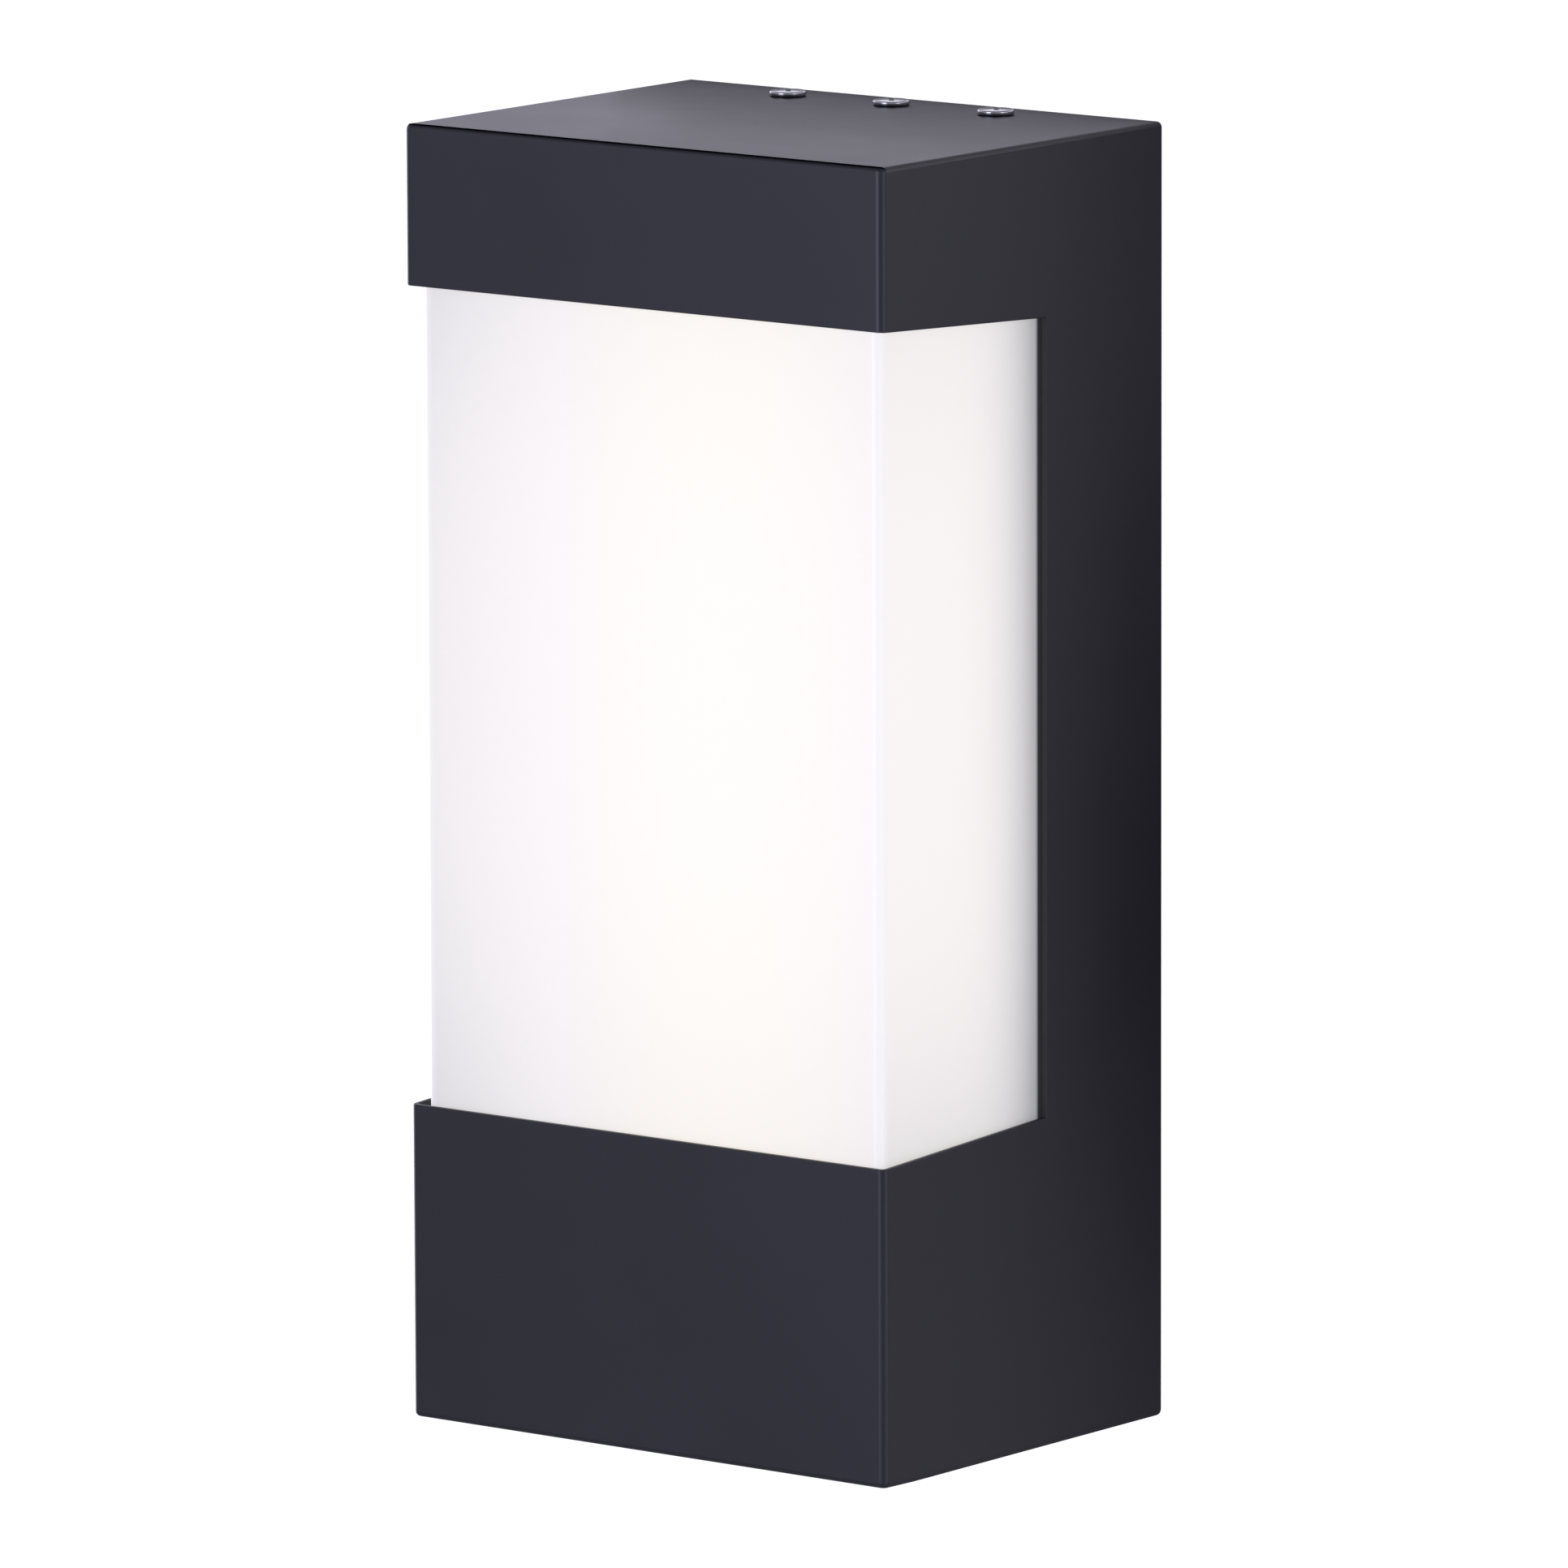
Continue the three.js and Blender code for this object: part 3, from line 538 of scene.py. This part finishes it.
edge_radii = {
    "diffuser": 0.40 * MM,
    "wall_plate": 0.30 * MM,
    "chassis": 0.25 * MM,
    "driver_case": 0.40 * MM,
    "driver_lid": 0.40 * MM,
    "terminal_block": 0.30 * MM,
    "led_connector": 0.20 * MM,
    "led_board": 0.10 * MM,
    "cable_grommet": 0.30 * MM,
    "wall_gasket": 0.50 * MM,
    "rim_gasket": 0.25 * MM,
    "upper_foam_strip": 0.30 * MM,
    "lower_foam_strip": 0.30 * MM,
    "earth_lug": 0.10 * MM,
}
for name in frame["nodes"]:
    if name.startswith(("flange_nut", "stud_nut", "lead_grommet")):
        edge_radii[name] = 0.20 * MM
for node, radius in edge_radii.items():
    piece = softened(node, radius)
    print(piece.name, len(piece.data.polygons), "faces")

# %% [markdown]
# ## The housing without its seams
# Top plate and bottom plate are welded to the folded sheet, ground flush and coated over, so no seam shows.
# The solids keep a gap there, because solids that touch can't be told apart. The copies close it. The sheet
# reaches up and down to the plates, and the edges along the seam stay square, so that the two meet in one plane.
# The outer edges of the plates get a large radius, which is what a ground and powder coated edge looks like.

# %% Housing
seam_above, seam_below = plate_low.z, foot_high.z
wrap_low, wrap_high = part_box("housing_wrap")
housing_edge = 1.1 * MM
sheet_edge = 0.30 * MM
rim_width = 2 * MM


def at_height(edge, height):
    return all(abs(vert.co.z - height) < TOUCH for vert in edge.verts)


def plate_share(outer_height, seam_height):
    """The outer rim takes the whole radius, holes and upright edges a small one, and the seam none."""

    def share(edge):
        middle = (edge.verts[0].co + edge.verts[1].co) / 2
        inset = min(*(middle - plate_low).xy, *(plate_high - middle).xy)
        if at_height(edge, outer_height) and inset < rim_width:
            return 1.0
        return 0.0 if at_height(edge, seam_height) else sheet_edge / housing_edge

    return share


def wrap_share(edge):
    return 0.0 if at_height(edge, wrap_low.z) or at_height(edge, wrap_high.z) else 1.0


wrap_reach = (wrap_low.z - seam_below, seam_above - wrap_high.z)
top_share = plate_share(plate_high.z, seam_above)
bottom_share = plate_share(foot_low.z, seam_below)
housing = (
    softened("housing_wrap", sheet_edge, reach=wrap_reach, share=wrap_share),
    softened("top_plate", housing_edge, segments=5, share=top_share),
    softened("bottom_plate", housing_edge, segments=5, share=bottom_share),
)
for piece in housing:
    print(piece.name, len(piece.data.polygons), "faces")
for name, node in frame["nodes"].items():
    node.data.shade_smooth()
    node.data.set_sharp_from_angle(angle=math.radians(35))

# %% [markdown]
# ## A solid of rings
# A turned piece is round everywhere, so it can be built as rings of corners, one above the other.
# A Screw modifier could spin a profile, but the rings below can also vary with the angle, which a thread needs.
# Both ends are closed with a cap, so that the piece is one solid.

# %% A solid of rings
def ring_grid(work, rows, columns, radius_at, height_at):
    """A closed tube of rings, capped at both ends."""
    rings = []
    for row in range(rows):
        ring = []
        for column in range(columns):
            angle = 2 * math.pi * column / columns
            r = radius_at(row, angle)
            ring.append(work.verts.new((r * math.cos(angle), r * math.sin(angle), height_at(row))))
        rings.append(ring)
    for lower, upper in zip(rings, rings[1:]):
        for column in range(columns):
            after = (column + 1) % columns
            work.faces.new((lower[column], lower[after], upper[after], upper[column]))
    work.faces.new(reversed(rings[0]))
    work.faces.new(rings[-1])


print("a ring grid takes a radius for each row and angle, and a height for each row")

# %% [markdown]
# ## A threaded shaft
# A machine screw's shaft carries a ridge that winds round it.
# The ridge could be a spiral curve swept round the shaft, but its ends are awkward to close.
# Instead each corner's radius follows a triangle wave of its height minus its angle. One turn up is one pitch,
# so the wave winds round the shaft as a thread does. It fades out under the head and tapers at the tip.

# %% Thread
coarse_pitch, shaft_radius = 0.7 * MM, 2.0 * MM
rows_a_turn, shaft_columns = 10, 40


def thread(work, major, pitch, length):
    """A threaded shaft from z = -length up to z = 0, with a tapered tip."""
    depth = 0.55 * pitch
    rows = max(8, round(length / pitch * rows_a_turn))
    tip = pitch * 1.2
    core = major - depth

    def height_at(row):
        return -length + length * row / (rows - 1)

    def radius_at(row, angle):
        z = height_at(row)
        wave = (z / pitch - angle / (2 * math.pi)) % 1.0
        ridge = 1 - abs(2 * wave - 1)
        runout = min(1.0, max(0.0, -z / pitch), (z + length) / tip + 0.25)
        taper = min(1.0, 0.72 + 0.28 * (z + length) / tip)
        return (core + depth * ridge * runout) * taper

    ring_grid(work, rows, shaft_columns, radius_at, height_at)


print("thread:", round(coarse_pitch / MM, 2), "mm pitch on", round(2 * shaft_radius / MM, 1), "mm")

# %% [markdown]
# ## A low head
# The head has a small undercut where it meets the coat, an upright rim, a rounded shoulder, and a top that
# rises a little to its middle. The numbers are shares of its radius and height, so the profile fits any size.

# %% Low head
shoulder, crown, flat_radius = 0.60, 0.82, 0.90
shoulder_steps, head_columns = 6, 64
head_profile = [(0.93, 0.0), (0.985, 0.08), (1.0, 0.16), (1.0, shoulder)]
for step in range(1, shoulder_steps + 1):
    turn = step / shoulder_steps * math.pi / 2
    out = flat_radius + (1 - flat_radius) * math.cos(turn)
    head_profile.append((out, shoulder + (crown - shoulder) * math.sin(turn)))
for out in (0.7, 0.5, 0.3, 0.1, 0.01):
    head_profile.append((out, crown + (1 - crown) * (1 - (out / flat_radius) ** 2)))


def low_head(work, radius, height):

    def radius_at(row, angle):
        return radius * head_profile[row][0]

    def height_at(row):
        return height * head_profile[row][1]

    ring_grid(work, len(head_profile), head_columns, radius_at, height_at)


print("head profile:", len(head_profile), "rings of", head_columns, "corners")

# %% [markdown]
# ## The cross recess
# The cross is pressed into the head by a tapered punch. Here two tapered bars cut it, with Boolean modifiers.
# One cutter shaped like a cross would need the bars joined first, because a cutter that overlaps itself leaves
# a pillar in the middle. Two modifiers, one for each bar, are simpler.

# %% Cutters for the recess
def bar_cutter(turn, reach, width, depth, height):
    """One tapered bar of the cross, with its narrow side down in the head."""
    work = bmesh.new()
    spin = Matrix.Rotation(turn, 4, "Z")
    corners = []
    for z, grow in ((height - depth, 0.55), (height + depth, 1.35)):
        for x, y in ((-1, -1), (1, -1), (1, 1), (-1, 1)):
            corner = Vector((x * reach * (0.6 + 0.4 * grow), y * width / 2 * grow, z))
            corners.append(work.verts.new(spin @ corner))
    lower, upper = corners[:4], corners[4:]
    work.faces.new(reversed(lower))
    work.faces.new(upper)
    for i in range(4):
        j = (i + 1) % 4
        work.faces.new((lower[i], lower[j], upper[j], upper[i]))
    return shown(work, "bar_cutter")


cross_reach, cross_width, cross_depth = 0.66, 0.30, 0.70


def cross_cutters(head, height):
    sizes = (cross_reach * head, cross_width * head, cross_depth * height)
    return [bar_cutter(turn, *sizes, height) for turn in (0, math.pi / 2)]


print("the cross reaches", cross_reach, "of the head's radius, and", cross_depth, "of its height down")

# %% [markdown]
# ## The three top screws
# They hold the housing to the wall plate, so they come out upwards when the lantern is taken down.
# Each is built upright at the origin and then put where its node's head rests, a tenth of a millimetre above the
# coat. A fitter never leaves two crosses at the same angle, so each one is turned a little differently.

# %% Top screws
def cross_head_screw(node, head, head_height, length, turn):
    work = bmesh.new()
    low_head(work, head, head_height)
    piece = shown(work, node + "_finished")
    bars = cross_cutters(head, head_height)
    for bar in bars:
        cut = piece.modifiers.new("recess", "BOOLEAN")
        cut.object = bar
        cut.operation = "DIFFERENCE"
        cut.solver = "EXACT"
    bevel = piece.modifiers.new("worn edges", "BEVEL")
    bevel.width = 0.03 * head
    bevel.segments = 2
    bevel.limit_method = "ANGLE"
    bevel.angle_limit = math.radians(40)
    apply_modifiers(piece)
    for bar in bars:
        bpy.data.objects.remove(bar)
    work = bmesh.new()
    work.from_mesh(piece.data)
    thread(work, shaft_radius, coarse_pitch, length)
    work.to_mesh(piece.data)
    work.free()
    piece.data.transform(Matrix.Rotation(turn, 4, "Z"))
    piece.data.shade_smooth()
    piece.data.set_sharp_from_angle(angle=math.radians(32))
    return piece


above_coat = 0.1 * MM
top_turns = {"top_screw_left": 0.72, "top_screw_middle": 0.68, "top_screw_right": 0.74}
for node, turn in top_turns.items():
    low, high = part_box(node)
    seat_height = plate_high.z + above_coat
    head_radius = (high.x - low.x) / 2
    piece = cross_head_screw(node, head_radius, high.z - seat_height, seat_height - low.z, turn)
    piece.location = ((low.x + high.x) / 2, (low.y + high.y) / 2, seat_height)
    settle(piece, node)
    print(piece.name, len(piece.data.polygons), "faces")

# %% [markdown]
# ## Light-emitting chips
# The board carries rows of small chips: a white ceramic frame round a dome of yellow phosphor.
# An array modifier would repeat one chip, but a loop keeps each chip a separate, closed solid in one mesh,
# and lets the rows be spaced from the board's own size in the frame.

# %% Chips on the light board
def chip_finish(name, color, glow):
    chip = Finish(name, Emission_Strength=glow)
    grain = chip.noise(0.4 * MM, detail=2)
    dim = tuple(0.85 * c for c in color)
    chip.feed("Base Color", chip.blend(grain, dim, color))
    chip.feed("Emission Color", chip.blend(grain, dim, color))
    chip.feed("Roughness", 0.3 + 0.2 * grain)
    return chip.material


def add_box(work, low, high, index):
    made = bmesh.ops.create_cube(work, size=1.0)
    for vert in made["verts"]:
        for i in range(3):
            vert.co[i] = high[i] if vert.co[i] > 0 else low[i]
    for face in {f for v in made["verts"] for f in v.link_faces}:
        face.material_index = index


board_low, board_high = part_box("led_board")
chip_width, chip_height, chip_rise = 2.8 * MM, 3.5 * MM, 0.7 * MM
chip_rows, chip_columns = 9, 2
half = Vector((chip_width / 2, 0, chip_height / 2))
face_half = half * 0.72
chips = bmesh.new()
for row in range(chip_rows):
    z = board_low.z + (row + 1) * (board_high.z - board_low.z) / (chip_rows + 1)
    for column in range(chip_columns):
        x = board_low.x + (column + 1) * (board_high.x - board_low.x) / (chip_columns + 1)
        centre = Vector((x, board_low.y, z))
        low = centre - half - Vector((0, chip_rise, 0))
        high = centre + half - Vector((0, 0.02 * MM, 0))
        add_box(chips, low, high, 0)
        low = centre - face_half - Vector((0, chip_rise + 0.12 * MM, 0))
        high = centre + face_half - Vector((0, chip_rise + 0.01 * MM, 0))
        add_box(chips, low, high, 1)
bmesh.ops.bevel(chips, geom=chips.edges[:], offset=0.08 * MM, segments=2, affect="EDGES", profile=0.5)
chip_piece = shown(chips, "light_chips")
chip_piece.data.materials.append(chip_finish("chip_frame", (0.80, 0.80, 0.78), 0.2))
chip_piece.data.materials.append(chip_finish("chip_phosphor", (0.95, 0.78, 0.30), 2.0))
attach(chip_piece, body_of("led_board"))
print("chips:", chip_rows * chip_columns)

# %% [markdown]
# ## The floor
# The lantern hangs in front of a pale sweep, on a floor so far below that its shadow stays out of the picture.
# The floor glows a little for the camera alone, so that it looks evenly white and yet doesn't light the lantern.

# %% Floor
floor_half, floor_drop = 45, 2.2


def pale_floor():
    floor = Finish("pale_sweep", Roughness=0.9, IOR=1.3)
    sweep = floor.noise(3.0, detail=1)
    floor.feed("Base Color", floor.blend(sweep, (0.80, 0.80, 0.80), (0.82, 0.82, 0.82)))
    straight = floor.node("ShaderNodeLightPath", output="Is Camera Ray")
    floor.feed("Emission Color", floor.blend(straight, (0.0, 0.0, 0.0), (1.0, 1.0, 1.0)))
    floor.shader.inputs["Emission Strength"].default_value = 0.75
    return floor.material


floor_work = bmesh.new()
bmesh.ops.create_grid(floor_work, x_segments=1, y_segments=1, size=floor_half)
floor = shown(floor_work, "floor")
floor.data.materials.append(pale_floor())
floor.location.z = foot_low.z - floor_drop
floor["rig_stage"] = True
print("floor at", round(floor.location.z, 2), "m")

# %% [markdown]
# ## The room
# Black satin shows only what it reflects, so the light matters more than the colour of the coat.
# The top and the right side mirror the far end of the room, and the front mirrors the near end. So the room is
# bright behind the lantern, dimmer in front and to the right, and dark overhead. One colour all round would make
# all three faces the same grey. The camera itself sees it white.

# %% Room
world = bpy.data.worlds.new("soft_room")
bpy.context.scene.world = world
world.use_nodes = True
room = NodeMaker(world.node_tree, "Generated")
overhead = room.axis("Z").between(0.12, 0.75)
ahead_of_lens = (0.5 - 0.5 * room.axis("Y")).between(0.1, 0.9)
sweep_light = room.blend(ahead_of_lens, (1.52, 1.48, 1.74), (0.50, 0.50, 0.56))
to_the_right = room.axis("X").between(0.2, 0.8)
sweep_light = room.blend(0.3 * to_the_right, sweep_light, (0.50, 0.50, 0.56))
reflected = room.blend(overhead, sweep_light, (0.20, 0.20, 0.22))
straight = room.node("ShaderNodeLightPath", output="Is Camera Ray")
room_light = room.blend(straight, reflected, (1.0, 1.0, 1.0))
world.node_tree.links.new(room_light.socket, world.node_tree.nodes["Background"].inputs["Color"])


print("the room has", len(world.node_tree.nodes), "nodes")

# %% [markdown]
# ## Softboxes
# A softbox is a lamp behind a sheet of cloth, and an area light does the same. One large bluish box fills the
# front, and two weaker ones stand at the sides. They are aimed at the middle of the lantern, and the
# camera doesn't see them.

# %% Softboxes
def softbox(name, place, size, watts, color):
    data = bpy.data.lights.new(name, "AREA")
    data.shape = "RECTANGLE"
    data.size, data.size_y = size
    data.energy = watts
    data.color = color
    box = bpy.data.objects.new(name, data)
    bpy.context.scene.collection.objects.link(box)
    box.location = place
    box.rotation_euler = (-Vector(place)).to_track_quat("-Z", "Y").to_euler()
    box.visible_camera = False
    print(name, watts, "W")


softbox("front_softbox", (-0.15, -1.3, 0.15), (0.6, 0.9), 8, (0.72, 0.72, 1.0))
softbox("left_softbox", (-1.3, 0.25, -0.1), (0.5, 0.9), 4, (0.88, 0.86, 1.0))
softbox("right_softbox", (1.3, -0.25, -0.1), (0.5, 0.9), 2.8, (0.84, 0.83, 1.0))

# %% [markdown]
# ## Reflection cards
# Photographers hold black cards beside a glossy piece, to draw a dark line into its reflection.
# Two cards stand close behind the lantern. One darkens the back of the top, the other the far end of the side.
# Their glow fades away from one height, so that no hard edge shows in the coat. Only reflections see them.

# %% Reflection cards
def reflection_card(name, low, high, depth, darkest, fade, edge_light):
    """An upright board from `low` to `high`, which are places across and up. It is black at the height
    `darkest`, and glows softly up to `edge_light` at the distance `fade` above or below that."""
    work = bmesh.new()
    corners = [(low[0], low[1]), (high[0], low[1]), (high[0], high[1]), (low[0], high[1])]
    work.faces.new([work.verts.new((x, depth, z)) for x, z in corners])
    card = shown(work, name)
    card_finish = Finish(name + "_board", Roughness=1.0, Emission_Strength=1.0)
    weave = card_finish.noise(10 * MM)
    card_finish.feed("Base Color", card_finish.blend(weave, (0.003, 0.003, 0.003), (0.006, 0.006, 0.006)))
    away = ((card_finish.axis("Z") - darkest) / fade).size().between(0, 1)
    card_finish.feed("Emission Color", card_finish.blend(away, (0.0, 0.0, 0.0), edge_light))
    card.data.materials.append(card_finish.material)
    card.visible_camera = False
    card.visible_diffuse = False
    card.visible_shadow = False
    card.visible_transmission = False
    card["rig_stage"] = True
    print(name, "at", depth, "m behind the wall plane")


reflection_card("card_behind_top", (-0.115, 0.10), (0.11, 0.163), 0.055, 0.13, 0.1, (0.1, 0.1, 0.1))
reflection_card("card_behind_side", (-0.10, -0.17), (0.106, 0.15), 0.02, -0.03, 0.15, (0.20, 0.19, 0.22))

# %% [markdown]
# ## Colours as they are
# The Standard view shows a colour as it was worked out. A filmic view would roll off the lit box towards grey.

# %% View
bpy.context.scene.view_settings.view_transform = "Standard"
bpy.context.scene.view_settings.look = "None"
print("view:", bpy.context.scene.view_settings.view_transform)

# %% [markdown] ## The box after The box round the finished lantern is worked out once more, to stand beside
#  the box from before.

# %% Finish
low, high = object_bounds()
